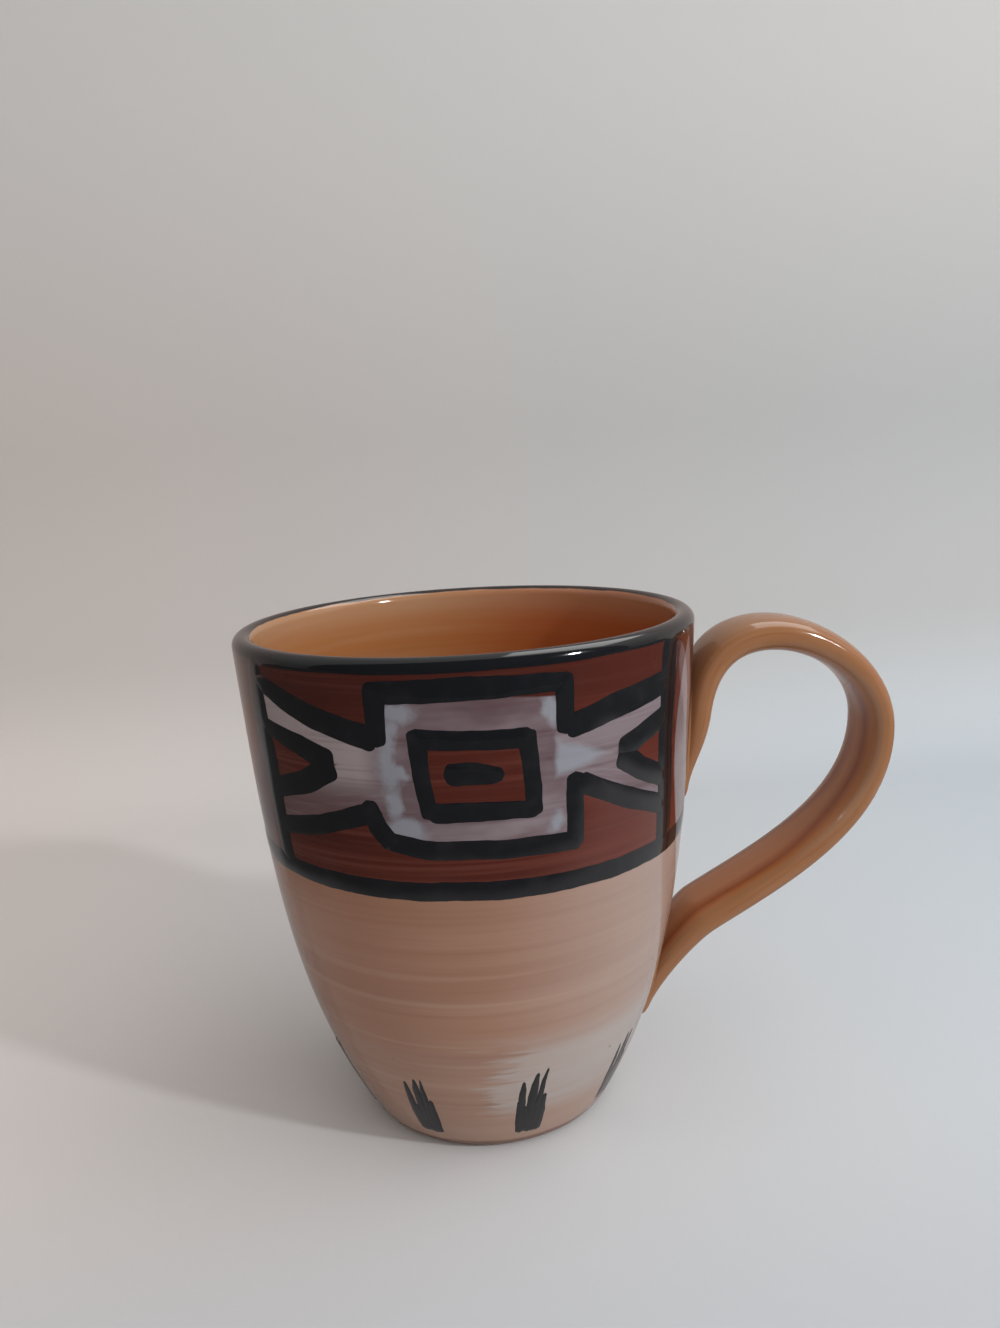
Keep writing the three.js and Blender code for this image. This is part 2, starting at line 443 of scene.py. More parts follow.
# Stations along the strap as middle, direction, width and thickness
def strapStations():
    knots = strapKnots()
    widths = strap["widths"]
    thicknesses = strap["thicknesses"]
    stations = []
    for k in range(len(knots) - 1):
        (startAt, startAlong, startPulls), (endAt, endAlong, endPulls) = knots[k], knots[k + 1]
        points = [startAt, startAt + startAlong * startPulls[1], endAt - endAlong * endPulls[0], endAt]
        for i in range(0 if k == 0 else 1, strap["spanSteps"] + 1):
            t = i / strap["spanSteps"]
            share = t * t * (3 - 2 * t)
            width = lerp(widths[k], widths[k + 1], share)
            thickness = lerp(thicknesses[k], thicknesses[k + 1], share)
            stations.append((cubic(points, t), cubicSlope(points, t), width, thickness))

    def tip(station, outwards):
        at, along, width, thickness = station
        rounded = []
        for i in range(1, strap["tipSteps"] + 1):
            angle = i / (strap["tipSteps"] + strap["tipRest"]) * math.pi / 2
            middle = at + along * (outwards * strap["tailTip"] * math.sin(angle))
            rounded.append((middle, along, width * math.cos(angle), thickness * math.cos(angle)))
        return rounded

    return tip(stations[0], -1)[::-1] + stations + tip(stations[-1], 1)


def ovalRing(middle, along, width, thickness):
    ring = []
    power = 2 / strap["ovalExponent"]
    for angle in ovalAngles:
        up = math.copysign(abs(math.cos(angle)) ** power, math.cos(angle)) * thickness / 2
        across = math.copysign(abs(math.sin(angle)) ** power, math.sin(angle)) * width / 2
        ring.append(Vector((middle.x - along.y * up, across, middle.y + along.x * up)))
    return ring


# Rings of points joined into a skin, closed round each ring and at the ends, or end to end
def ringMesh(name, rings, endToEnd=False):
    count = len(rings[0])
    points = [point for ring in rings for point in ring]
    faces = []
    for r in range(len(rings) if endToEnd else len(rings) - 1):
        after = (r + 1) % len(rings)
        for i in range(count):
            j = (i + 1) % count
            faces.append((r * count + i, after * count + i, after * count + j, r * count + j))
    if not endToEnd:
        last = (len(rings) - 1) * count
        faces.append(tuple(range(count)))
        faces.append(tuple(last + i for i in reversed(range(count))))
    mesh = bpy.data.meshes.new(name)
    mesh.from_pydata(points, [], faces)
    mesh.polygons.foreach_set("use_smooth", [True] * len(faces))
    return mesh


def makeStrap(material):
    stations = strapStations()
    rings = [ovalRing(*station) for station in stations]
    mesh = ringMesh("handle_strap", rings)
    along = shares([station[0] for station in stations])
    setValues(mesh, {
        "along": [share for share in along for _ in ovalAngles],
        "around": [math.sin(angle) for angle in ovalAngles] * len(stations),
        "outer": [math.cos(angle) for angle in ovalAngles] * len(stations),
    })
    mesh.materials.append(material)
    return newObject("handle_strap", mesh), rings


# Joint fillets: a hollow sweep of slip round each end of the strap
fillet = {
    "onStrap": 1.7 * mm,
    "onWall": 1.9 * mm,
    "sunk": 0.6 * mm,
    "seat": 0.02 * mm,
    "curveSteps": 7,
    "smoothings": 6,
}


def wallNormal(point):
    slope = cubicSlope(wallCurve, wallParameter(point.z))
    outward = Vector((point.x, point.y, 0)).normalized()
    return (outward * slope.y - Vector((0, 0, slope.x))).normalized()


def onWall(point):
    outward = Vector((point.x, point.y, 0)).normalized()
    return outward * wallRadius(point.z) + Vector((0, 0, point.z))


def wallGap(point):
    return math.hypot(point.x, point.y) - wallRadius(point.z)


# Where the strap's skin goes into the wall, one point on each line along the strap
def rootLine(rings, start, step):
    line = []
    for i in range(len(rings[0])):
        r = start
        while wallGap(rings[r + step][i]) > 0:
            r += step
        near, far = rings[r][i], rings[r + step][i]
        share = wallGap(near) / (wallGap(near) - wallGap(far))
        line.append(near.lerp(far, share))
    return line


# The same line, closed and in even steps
def evenLoop(line, count):
    closed = line + [line[0]]
    places = shares(closed)
    loop = []
    k = 0
    for i in range(count):
        want = i / count
        while places[k + 1] < want:
            k += 1
        loop.append(closed[k].lerp(closed[k + 1], (want - places[k]) / (places[k + 1] - places[k])))
    return loop


def makeFillet(name, rings, start, step, skin, material):
    line = evenLoop(rootLine(rings, start, step), 2 * strap["ovalSteps"])
    for _ in range(fillet["smoothings"]):
        after = line[1:] + line[:1]
        line = [onWall((line[i - 1] + line[i] * 2 + after[i]) / 4) for i in range(len(line))]
    heart = sum(line, Vector()) / len(line)
    sections = []
    for i, point in enumerate(line):
        tangent = (line[(i + 1) % len(line)] - line[i - 1]).normalized()
        normal = wallNormal(point)
        away = normal.cross(tangent).normalized()
        if away.dot(point - heart) < 0:
            away = -away
        foot = onWall(point + away * fillet["onWall"])
        skinNormal = skin.find_nearest(point)[1]
        climb = skinNormal.cross(tangent).normalized()
        if climb.dot(normal) < 0:
            climb = -climb
        head = skin.find_nearest(point + climb * fillet["onStrap"])[0]
        sunk = point - normal * fillet["sunk"] - away * fillet["sunk"]
        head = head - skin.find_nearest(head)[1] * fillet["seat"]
        foot = foot - wallNormal(foot) * fillet["seat"]
        curve = steps(fillet["curveSteps"], lambda t: quadratic([foot, point, head], t)) + [head]
        sections.append(curve + [head - skinNormal * fillet["sunk"], sunk, foot - normal * fillet["sunk"]])
    mesh = ringMesh(name, sections, endToEnd=True)
    mesh.materials.append(material)
    return newObject(name, mesh)


# Brush strokes: black lines that stand a little proud of the wall
brush = {
    "bandHeight": 80.0 * mm,
    "step": 0.45 * mm,
    "rise": 0.07 * mm,
    "edge": 0.015 * mm,
    "sink": 0.25 * mm,
    "wander": 0.9 * mm,
    "wanderLength": 9.0 * mm,
    "wanderDetail": 3.0,
    "wanderRoughness": 0.66,
    "aroundPoints": 12,
    "endShare": 0.7,
    "leastEnd": 0.004,
    "rayStart": 80.0 * mm,
    "sharpBend": math.radians(50),
}


def brushTree(material):
    inputs = {"cup": "Object", "aroundPoints": "Int"}
    for label in ("patternRadius", "seed", "step", "rise", "edge", "sink", "wander", "wanderLength",
                  "endShare", "rayStart", "sharpBend"):
        inputs[label] = "Float"
    graph, given = newTree("brushStrokes", inputs)
    cupSkin = graph.wire("GeometryNodeObjectInfo", None, {"Object": given["cup"]}, "Geometry")
    curve = graph.wire("GeometryNodeMeshToCurve", None, {0: given["Geometry"]})
    sockets = {0: curve, "Length": given["step"]}
    curve = graph.wire("GeometryNodeResampleCurve", {"mode": "LENGTH"}, sockets)
    curve = graph.wire("GeometryNodeSetCurveNormal", {"mode": "Z_UP"}, {0: curve})
    # Round ends: the line narrows like half a disc, over a share of its half width
    halfWidth = graph.named("halfWidth")
    passed = graph.wire("GeometryNodeSplineParameter", out="Length")
    whole = graph.wire("GeometryNodeSplineLength", out="Length")
    ending = halfWidth * given["endShare"]
    short = 1.0 - graph.least(graph.least(passed, whole - passed) / ending, 1.0)
    full = graph.math("SQRT", graph.most(1.0 - short * short, brush["leastEnd"]))
    curve = graph.store(curve, "full", full)
    curve = graph.store(curve, "broad", halfWidth * full)
    sockets = {"Resolution": given["aroundPoints"], "Radius": 1.0}
    ring = graph.wire("GeometryNodeCurvePrimitiveCircle", None, sockets)
    sockets = {0: curve, 1: ring, "Scale": graph.named("broad"), "Fill Caps": True}
    tube = graph.wire("GeometryNodeCurveToMesh", None, sockets)
    # The flat tube is laid on the wall: its x goes round the cup, y up the wall and z out of it
    flat = graph.wire("GeometryNodeInputPosition")
    spot = graph.vectorMath("DIVIDE", flat, graph.vector(*[given["wanderLength"]] * 3))
    spot = graph.vectorMath("ADD", spot, graph.vector(given["seed"], 0.0, 0.0))
    drift = graph.noise(spot, 1.0, brush["wanderDetail"], brush["wanderRoughness"], 1)
    drift = graph.split(graph.vectorMath("SUBTRACT", drift, (0.5, 0.5, 0.5)))
    across, up, out = graph.split(flat)
    turn = (across + drift[0] * given["wander"]) / given["patternRadius"]
    height = up + drift[1] * given["wander"]
    outward = graph.vector(graph.math("COSINE", turn), graph.math("SINE", turn), 0.0)
    start = graph.vectorMath("SCALE", outward, given["rayStart"])
    start = graph.vectorMath("ADD", start, graph.vector(0.0, 0.0, height))
    inward = graph.vectorMath("SCALE", outward, -1.0)
    sockets = {0: cupSkin, "Source Position": start, "Ray Direction": inward,
               "Ray Length": given["rayStart"]}
    ray = graph.node("GeometryNodeRaycast", None, sockets)
    hit, normal = [Wire(graph, ray.outputs[label]) for label in ("Hit Position", "Hit Normal")]
    side = out / graph.named("broad")
    top = graph.most(side, 0.0)
    lift = given["rise"] * graph.named("full") * top * top + given["edge"]
    lift = lift + given["sink"] * graph.least(side, 0.0)
    place = graph.vectorMath("ADD", hit, graph.vectorMath("SCALE", normal, lift))
    mesh = graph.wire("GeometryNodeSetPosition", None, {0: tube, "Position": place})
    # A stroke ends in a sharp edge on the wall
    bend = graph.wire("GeometryNodeInputMeshEdgeAngle")
    sharp = graph.math("GREATER_THAN", bend, given["sharpBend"])
    mesh = graph.store(mesh, "sharp_edge", sharp, "BOOLEAN", "EDGE")
    return endTree(graph, mesh, material)


# Strokes are lists of (degrees, height in mm, width in mm)
def makeStrokes(name, strokes, patternRadius, seed, tree, onto):
    paths = []
    halfWidths = []
    for stroke in strokes:
        paths.append([(math.radians(turn) * patternRadius, height * mm, 0.0) for turn, height, _ in stroke])
        halfWidths.extend(width / 2 * mm for _, _, width in stroke)
    piece = newObject(name, pathMesh(name, paths, {"halfWidth": halfWidths}))
    return growMesh(piece, tree, {"cup": onto, "patternRadius": patternRadius, "seed": seed, **brush})


# Painted band: two panels, each drawn in degrees from its middle and millimetres of height
panel = {
    "middles": (-92.0, 88.0),
    "bandFoot": 60.2,
    "footSway": 0.8,
    "swayTurn": 145.0,
    "lineWidth": 3.5,
    "lineStep": 10,
    "seed": 3.7,
}
# Strokes, each through points of turn, height and width
dividers = [
    [(-56.0, 98.5, 4.4), (-57.0, 88.5, 6.4), (-55.2, 80.0, 5.6), (-54.9, 70.0, 5.0), (-54.7, 60.2, 4.8)],
    [(53.5, 98.5, 6.0), (52.5, 80.0, 5.4), (54.1, 60.2, 6.0)],
]
frameStrokes = [
    [(-22.6, 94.4, 4.0), (0.0, 95.0, 4.1), (22.4, 94.6, 3.0)],
    [(-20.0, 96.4, 3.6), (-20.2, 91.0, 3.5), (-20.6, 85.4, 3.2)],
    [(20.4, 96.2, 3.3), (20.6, 91.0, 3.3), (20.6, 85.6, 3.3)],
    [(-20.6, 69.0, 3.5), (-12.0, 67.6, 3.5), (0.0, 67.2, 3.4), (24.6, 66.7, 3.4)],
    [(-24.6, 76.0, 3.4), (-22.4, 71.4, 3.8), (-18.8, 67.9, 3.5)],
    [(22.8, 79.0, 3.3), (22.9, 72.0, 3.3), (22.8, 65.4, 3.3)],
]
windowStrokes = [
    [(-12.9, 86.9, 3.6), (0.0, 86.3, 3.4), (13.2, 85.9, 3.5)],
    [(-11.6, 88.6, 3.4), (-11.2, 80.0, 2.9), (-9.8, 72.9, 2.8)],
    [(-10.6, 74.2, 3.6), (1.0, 73.9, 3.5), (14.4, 73.6, 3.0)],
    [(11.8, 87.4, 3.0), (12.7, 79.6, 2.9), (13.2, 72.2, 3.0)],
    [(-6.4, 80.6, 3.8), (0.0, 80.6, 4.0), (4.0, 80.3, 3.2), (6.8, 80.3, 2.0)],
]
armStrokes = [
    [(-57.0, 95.2, 3.0), (-46.0, 92.4, 3.9), (-38.0, 90.3, 4.2), (-20.2, 86.4, 4.3)],
    [(-56.2, 67.9, 3.4), (-38.0, 70.6, 3.6), (-24.0, 73.8, 3.6)],
    [(-58.2, 87.2, 2.8), (-50.0, 86.0, 3.3), (-41.0, 84.4, 4.1), (-31.8, 81.9, 4.6)],
    [(-31.8, 81.8, 4.6), (-41.0, 78.0, 4.2), (-56.4, 74.6, 3.6)],
    [(20.2, 86.6, 4.2), (33.0, 88.8, 4.6), (53.0, 90.6, 4.4)],
    [(23.2, 77.4, 3.6), (36.0, 72.4, 3.7), (53.0, 67.2, 3.7)],
    [(53.0, 84.8, 4.0), (42.0, 82.4, 4.2), (34.6, 80.4, 4.6)],
    [(34.6, 80.3, 4.6), (42.0, 76.4, 4.2), (53.0, 72.6, 4.0)],
]


def footHeight(turn):
    return panel["bandFoot"] + panel["footSway"] * math.cos(math.radians(turn - panel["swayTurn"]))


def bandStrokes():
    strokes = []
    for middle in panel["middles"]:
        for stroke in dividers + frameStrokes + windowStrokes + armStrokes:
            strokes.append([(middle + turn, height, width) for turn, height, width in stroke])
    wide = panel["lineWidth"]
    strokes.append([(turn, footHeight(turn), wide) for turn in range(-360, 1, panel["lineStep"])])
    return strokes


# Foot dabs: one press of a loaded brush each, a broad body that splits into thin bristle marks
dab = {
    # Turn, breadth, reach and curl
    "presses": [
        (-118.5, 0.95, 0.92, 0.5), (-78.8, 1.05, 1.0, 2.4), (-38.5, 1.0, 0.95, 1.5), (42.0, 1.1, 1.0, -1.6),
        (82.0, 0.85, 0.9, 2.4), (122.0, 1.1, 1.05, 1.0), (162.0, 0.9, 0.92, -1.2), (-158.0, 1.0, 0.97, 2.0),
    ],
    # Turn and top
    "bodies": [(-3.7, 14.4), (-1.9, 12.4), (0.0, 14.2), (1.9, 13.2), (3.7, 14.2)],
    # Turn, top, width and curl
    "bristles": [(-3.5, 19.0, 1.4, 0.15), (0.1, 20.4, 1.6, 0.7), (2.3, 20.4, 1.0, 1.0)],
    "flare": 1.14,
    "bodyWidth": 1.9,
    "rootHeight": 4.1,
    # Share of the length and share of the width
    "bodyShape": ((0.0, 1.0), (0.6, 0.9), (1.0, 0.4)),
    # Share of the length, of the curl and of the width
    "bristleShape": ((0.3, 0.0, 1.2), (0.6, 0.1, 1.0), (0.82, 0.4, 0.8), (1.0, 1.0, 0.3)),
    "bodyLoose": 0.6,
    "rootLoose": 0.3,
    "bristleLoose": 0.4,
    "turnLoose": 0.2,
    "drawSeed": 5,
    "seed": 8.2,
    "patternHeight": 8.0 * mm,
}


def dabStrokes():
    draw = random.Random(dab["drawSeed"])
    wide, root, flare = dab["bodyWidth"], dab["rootHeight"], dab["flare"]

    def loose(label):
        return draw.uniform(-dab[label], dab[label])

    strokes = []
    for turn, breadth, reach, curl in dab["presses"]:
        for side, top in dab["bodies"]:
            high = lerp(root, top, reach) + loose("bodyLoose")
            low = root + loose("rootLoose")
            near, far = turn + side * breadth / flare, turn + side * breadth * flare
            strokes.append([(lerp(near, far, share), lerp(low, high, share), wide * width)
                            for share, width in dab["bodyShape"]])
        for side, top, thick, bend in dab["bristles"]:
            high = lerp(root, top, reach) + loose("bristleLoose")
            at = turn + side * breadth + loose("turnLoose")
            strokes.append([(at + bend * curl * lean, lerp(root, high, share), thick * width)
                            for share, lean, width in dab["bristleShape"]])
    return strokes


# Finishes
glaze = {
    "cup": (1.52, 0.07),  # index and roughness
    "handle": (1.43, 0.09),
    "roughnessSpread": 0.05,
    "mottleScale": 140.0,
    "rippleScale": 260.0,
    "rippleHeight": 0.02 * mm,
    "rippleStrength": 0.25,
}


def finishGlaze(graph, place, base, index, roughness):
    mottle = graph.noise(place, glaze["mottleScale"], 3.0)
    ripple = graph.noise(place, glaze["rippleScale"], 1.0)
    sockets = {"Height": ripple, "Strength": glaze["rippleStrength"], "Distance": glaze["rippleHeight"]}
    finishMaterial(graph, {
        "Base Color": base,
        "IOR": index,
        "Roughness": roughness + (mottle - 0.5) * glaze["roughnessSpread"],
        "Normal": graph.wire("ShaderNodeBump", None, sockets),
    })


paint = {
    "peach": (0.300, 0.160, 0.104),
    "peachPale": (0.355, 0.218, 0.155),
    "footPale": (0.358, 0.243, 0.190),
    "peachShadeSide": (0.335, 0.150, 0.088),
    "peachBrown": (0.222, 0.100, 0.060),
    "brick": (0.064, 0.0125, 0.008),
    "brickPale": (0.104, 0.030, 0.020),
    "brickDark": (0.030, 0.0070, 0.0055),
    "brickLitSide": (0.120, 0.022, 0.012),
    "mauve": (0.118, 0.080, 0.088),
    "mauvePale": (0.205, 0.165, 0.176),
    "mauveDark": (0.072, 0.036, 0.039),
    "mauveHigh": (0.345, 0.290, 0.292),
    "mauveBrown": (0.115, 0.058, 0.055),
    "lilacWhite": (0.232, 0.245, 0.276),
    "ochre": (0.315, 0.120, 0.040),
    "ochrePale": (0.340, 0.155, 0.068),
    "ochreShaded": (0.380, 0.061, 0.012),
    "ochreDepthShade": (0.205, 0.064, 0.018),
    "ochreRimSheen": (0.405, 0.256, 0.156),
    "black": (0.0066, 0.0074, 0.0092),
    "blackThin": (0.0118, 0.0122, 0.0142),
    "footLine": (0.130, 0.046, 0.027),
    "bareClay": (0.330, 0.230, 0.165),
    "fleck": (0.080, 0.035, 0.020),
    "footHand": 0.6,
    "bandHand": 0.4,
    "bandEdge": (-0.4, 0.1),
    "lipHand": 0.5,
    "lipOutside": (97.45, 97.75),
    "lipInside": (99.35, 99.6),
    "lensPale": (0.180, 0.125, 0.124),
    "lensTurn": 65.5,
    "lensHeight": 77.0,
    "lensHalfTurn": 7.4,
    "lensHalfHeight": 20.0,
    "lensEdge": (-0.03, 0.05),
    "thinWhiteAndSheen": (0.378, 0.336, 0.312),
    "thinTurn": 36.0,
    "thinHalfTurn": 36.0,
    "thinRise": (7.0, 13.0),
    "thinFall": (31.0, 23.0),
    "thinEnd": (87.0, 76.0),
    "thinSoft": 7.0,
    "thinFray": 52.0,
    "thinLeast": 0.14,
    "thinMore": 0.70,
    "frayScale": (0.03, 380.0),
    "cloudScale": 34.0,
    "speckScale": 620.0,
    "streakRoughness": 0.55,
    "fieldEdge": (-0.2, 0.2),
    "armEdge": (-0.2, 0.8),
    "leftEnd": (-20.0, -26.0),
    "fanEdge": (0.0, 0.5),
    "fanScale": (0.035, 9.0, 120.0),
    "wedgeRagged": 0.4,
    "wedgeDepth": 2.0,
    "wedgeFadeStart": 3.0,
    "wedgeFade": 0.35,
    "wedgeCut": 0.1,
}
# Unsteady hand and smudges: lift of the noise, scale, detail, roughness, and reach in degrees or mm
wanders = {
    "handTurn": (0.0, 130.0, 2.0, 0.5, 1.6),
    "handRise": (0.3, 130.0, 2.0, 0.5, 1.0),
    "smudgeTurn": (0.7, 210.0, 3.0, 0.6, 7.0),
    "smudgeRise": (1.1, 210.0, 3.0, 0.6, 4.0),
}
# Level brush marks: scale around, scale up, detail and shift
streakKinds = {
    "fine": (16.0, 1100.0, 3.0, 1.0),
    "broad": (11.0, 190.0, 2.0, 5.0),
    "middling": (14.0, 420.0, 2.0, 9.0),
    "patchy": (9.0, 70.0, 2.0, 13.0),
    "bright": (8.0, 520.0, 1.0, 17.0),
    "thin": (13.0, 300.0, 2.0, 3.0),
    "turned": (12.0, 300.0, 3.0, 2.0),
}
# Coats of paint, with painted light and shade where marked. Heights are in mm, and handleSide is 1 at the
# handle and -1 opposite it
paintCoats = {
    "body": [
        ("broad", 0.38, 0.68, 0.45, "peachPale"),
        ("fine", 0.44, 0.74, 0.30, "peachBrown"),
        ("middling", 0.50, 0.72, 0.26, "peachBrown"),
        ("patchy", 0.50, 0.66, 0.40, "peachBrown"),
        ("bright", 0.60, 0.74, 0.55, "peachPale"),
        ("handHeight", 44.0, 57.0, 0.47, "peachBrown"),
        # painted shade: a warmer tan on the side away from the handle and the lamps
        ("handleSide", -0.17, -0.77, 0.3, "peachShadeSide"),
        # painted sheen towards the handle side, where the lamps fall; partly real white showing through a
        # thin coat
        ("handleSide", -0.17, 0.80, 0.45, "thinWhiteAndSheen"),
    ],
    "foot": [
        ("thinHere", "thin", 0.05, 0.52, 1.0, "thinWhiteAndSheen"),
        ("thinEnds", "fine", 0.45, 0.65, 0.5, "peachBrown"),
        ("handHeight", 14.0, 5.0, 0.7, "footPale"),
        ("specks", 0.80, 0.84, 0.7, "fleck"),
    ],
    "brick": [
        ("fine", 0.42, 0.72, 0.8, "brickPale"),
        # painted light: a brighter, warmer red towards the handle side, where the lamps fall
        ("handleSide", 0.10, 0.62, 0.55, "brickLitSide"),
        ("broad", 0.50, 0.75, 0.6, "brickDark"),
        ("handHeight", 86.0, 94.0, 0.45, "brickDark"),
    ],
    "mauve": [
        ("fan", 0.42, 0.72, 1.0, "mauvePale"),
        ("onArms", "handHeight", 72.0, 84.0, 0.8, "mauvePale"),
        ("onLeft", "handHeight", 76.0, 81.0, 0.7, "mauveHigh"),
        ("onLeft", "handHeight", 79.0, 74.0, 0.6, "mauveBrown"),
        ("offLeft", "handHeight", 86.0, 92.0, 0.4, "mauveDark"),
        ("fine", 0.48, 0.74, 0.50, "mauveDark"),
        ("white", -0.35, 0.25, 0.45, "lilacWhite"),
        ("white", 0.05, 0.55, 0.75, "lilacWhite"),
    ],
    "lens": [("cloud", 0.4, 0.65, 0.4, "mauve")],
    "edge": [
        ("footEdge", 2.7, 1.7, 0.8, "footLine"),
        ("height", 0.5, 0.05, 1.0, "bareClay"),
    ],
    "inside": [
        ("turned", 0.35, 0.7, 1.0, "ochrePale"),
        # painted shade: a deeper, redder ochre on the handle side of the inner wall, which faces away from
        # the lamps
        ("across", -12 * mm, 34 * mm, 0.75, "ochreShaded"),
        # painted shade: darker further down inside the cup
        ("height", 96.0, 66.0, 0.6, "ochreDepthShade"),
        # painted sheen: paler just under the rim
        ("height", 91.0, 98.0, 0.45, "ochreRimSheen"),
    ],
}
# Fields of a panel: its sides in degrees, then two points each on the lines of its top and its foot
fields = {
    "cartouche": ((-21.0, 22.0), ((-21, 95.3), (21, 92.0)), ((-21, 68.4), (22, 67))),
    "window": ((-10.4, 12.0), ((-10, 86.4), (12, 86.4)), ((-10, 73.8), (12, 73.8))),
    "leftArm": ((-58.0, -18.0), ((-53.5, 94), (-20, 86.4)), ((-53.5, 68), (-22, 74))),
    "leftPeak": ((-90.0, 90.0), ((-52.5, 87), (-31, 81.9)), ((-52.5, 75.2), (-31, 81.9))),
    "rightArm": ((18.0, 53.5), ((20, 86.6), (52, 90.6)), ((22, 77.6), (52, 67.4))),
    "rightPeak": ((-90.0, 90.0), ((34, 80.4), (51, 84.4)), ((34, 80.4), (51, 73.2))),
}
# White showing through the mauve: spots by turn, height and half sizes, and a wedge by its corners
paleSpots = [
    (-18.6, 82.0, 2.2, 4.8), (-16.4, 80.8, 2.6, 1.4), (-15.4, 71.0, 5.4, 2.2), (-15.6, 91.4, 4.4, 1.8),
    (-17.6, 87.0, 2.0, 4.0), (-17.4, 75.6, 2.0, 3.6), (17.2, 89.8, 1.9, 3.0), (17.6, 70.9, 1.9, 2.2),
]
paleWedge = [(17.8, 85.6), (35.0, 80.8), (21.4, 78.8)]


def paintedGlaze():
    material, graph, place = newMaterial("painted_glaze")
    x, y, z = graph.split(place)
    height = z / mm
    turn = graph.math("ARCTAN2", y, x) * (180 / math.pi)

    def wander(label):
        lift, scale, detail, roughness, reach = wanders[label]
        return (graph.noise(graph.vector(x, y, z + lift), scale, detail, roughness) - 0.5) * reach

    # Turn from a panel's middle and height, as an unsteady hand draws them
    handRise = wander("handRise")
    a = graph.math("WRAP", turn - panel["middles"][0], 90.0, -90.0) + wander("handTurn")
    h = height + handRise
    masks = {
        "height": height,
        "handHeight": h,
        "footEdge": height + handRise * paint["footHand"],
        "across": x,
        "handleSide": graph.math("COSINE", turn * (math.pi / 180)),
        "cloud": graph.noise(place, paint["cloudScale"], 3.0),
        "specks": graph.noise(place, paint["speckScale"], 1.0),
    }
    for label, (around, upward, detail, shift) in streakKinds.items():
        vector = graph.vector(x * around, y * around, z * upward + shift)
        masks[label] = graph.noise(vector, 1.0, detail, paint["streakRoughness"])

    def coated(base, kind):
        return graph.coated(base, paintCoats[kind], masks, paint)

    # Lower body: flesh tan in thin level brush marks, with painted shade away from the handle and painted
    # sheen towards it, and a thin place near the foot where the white shows
    thinPlace = graph.step(h, *paint["thinRise"]) * graph.step(h, *paint["thinFall"])
    frayAround, frayUp = paint["frayScale"]
    fray = graph.noise(graph.vector(turn * frayAround, 0.0, z * frayUp), 1.0, 3.0, 0.6)
    frayed = (fray - 0.5) * paint["thinFray"]
    past = abs(a - paint["thinTurn"]) - paint["thinHalfTurn"] + frayed
    within = graph.step(past, paint["thinSoft"], -paint["thinSoft"]) * graph.step(abs(a), *paint["thinEnd"])
    masks["thinHere"] = thinPlace * (paint["thinLeast"] + paint["thinMore"] * within)
    masks["thinEnds"] = within * (1.0 - within) * 4.0 * thinPlace
    body = coated(coated(paint["peach"], "body"), "foot")

    # Band: brick red under the panels' fields
    def line(start, end):
        slope = (end[1] - start[1]) / (end[0] - start[0])
        return start[1] + (a - start[0]) * slope

    edges, areas = {}, {}
    for label, ((left, right), topLine, footLine) in fields.items():
        top, foot = edges[label] = line(*topLine), line(*footLine)
        areas[label] = graph.least(a - left, right - a, top - h, h - foot)
    arms = graph.most(graph.least(areas["leftArm"], -areas["leftPeak"]),
                      graph.least(areas["rightArm"], -areas["rightPeak"]))
    field = graph.most(graph.least(areas["cartouche"], -areas["window"]), arms)

    # Streaks fan out along the arms and run level in the frame
    def fan(arm):
        top, foot = edges[arm]
        return graph.step(areas[arm], *paint["fanEdge"]) * ((h - foot) / (top - foot))

    spread = graph.most(fan("leftArm"), fan("rightArm"))
    fanAround, fanOut, fanUp = paint["fanScale"]
    masks["fan"] = graph.noise(graph.vector(a * fanAround, spread * fanOut, z * fanUp), 1.0, 3.0, 0.6)
    masks["onArms"] = graph.step(arms, *paint["armEdge"])
    masks["onLeft"] = graph.step(a, *paint["leftEnd"])
    masks["offLeft"] = 1.0 - masks["onLeft"]

    # White in places: the wedge between the frame and the right arm, then the spots
    smudgeTurn, smudgeRise = wander("smudgeTurn"), wander("smudgeRise")
    raggedTurn, raggedRise = smudgeTurn * paint["wedgeRagged"], smudgeRise * paint["wedgeRagged"]
    wedgeTop, wedgeTip, wedgeFoot = paleWedge
    wedge = graph.least(a - wedgeTop[0] + raggedTurn, line(wedgeTop, wedgeTip) - h + raggedRise,
                        h - line(wedgeFoot, wedgeTip) - raggedRise)
    fading = graph.step(a, wedgeTop[0] + paint["wedgeFadeStart"], wedgeTip[0]) * paint["wedgeFade"]
    white = wedge / paint["wedgeDepth"] - fading - paint["wedgeCut"]
    for spotTurn, spotHeight, halfTurn, halfHeight in paleSpots:
        offTurn = (a + smudgeTurn - spotTurn) / halfTurn
        offRise = (h + smudgeRise - spotHeight) / halfHeight
        white = graph.most(white, 1.0 - graph.math("SQRT", offTurn * offTurn + offRise * offRise))
    masks["white"] = white
    brick, mauve = [coated(paint[label], label) for label in ("brick", "mauve")]
    band = graph.blend(graph.step(field, *paint["fieldEdge"]), brick, mauve)

    # Lenses: a pair beside the handle and one opposite it
    lensTurn = 90.0 - (90.0 - paint["lensTurn"]) * graph.step(x, -1 * mm, 1 * mm)
    lensOff = (abs(a) - lensTurn) / paint["lensHalfTurn"]
    lensRise = (h - paint["lensHeight"]) / paint["lensHalfHeight"]
    lens = graph.step(1.0 - lensRise * lensRise - abs(lensOff), *paint["lensEdge"])
    band = graph.blend(lens, band, coated(paint["lensPale"], "lens"))

    sway = graph.math("COSINE", (turn - panel["swayTurn"]) * (math.pi / 180)) * panel["footSway"]
    overFoot = height + handRise * paint["bandHand"] - sway - panel["bandFoot"]
    outside = coated(graph.blend(graph.step(overFoot, *paint["bandEdge"]), body, band), "edge")

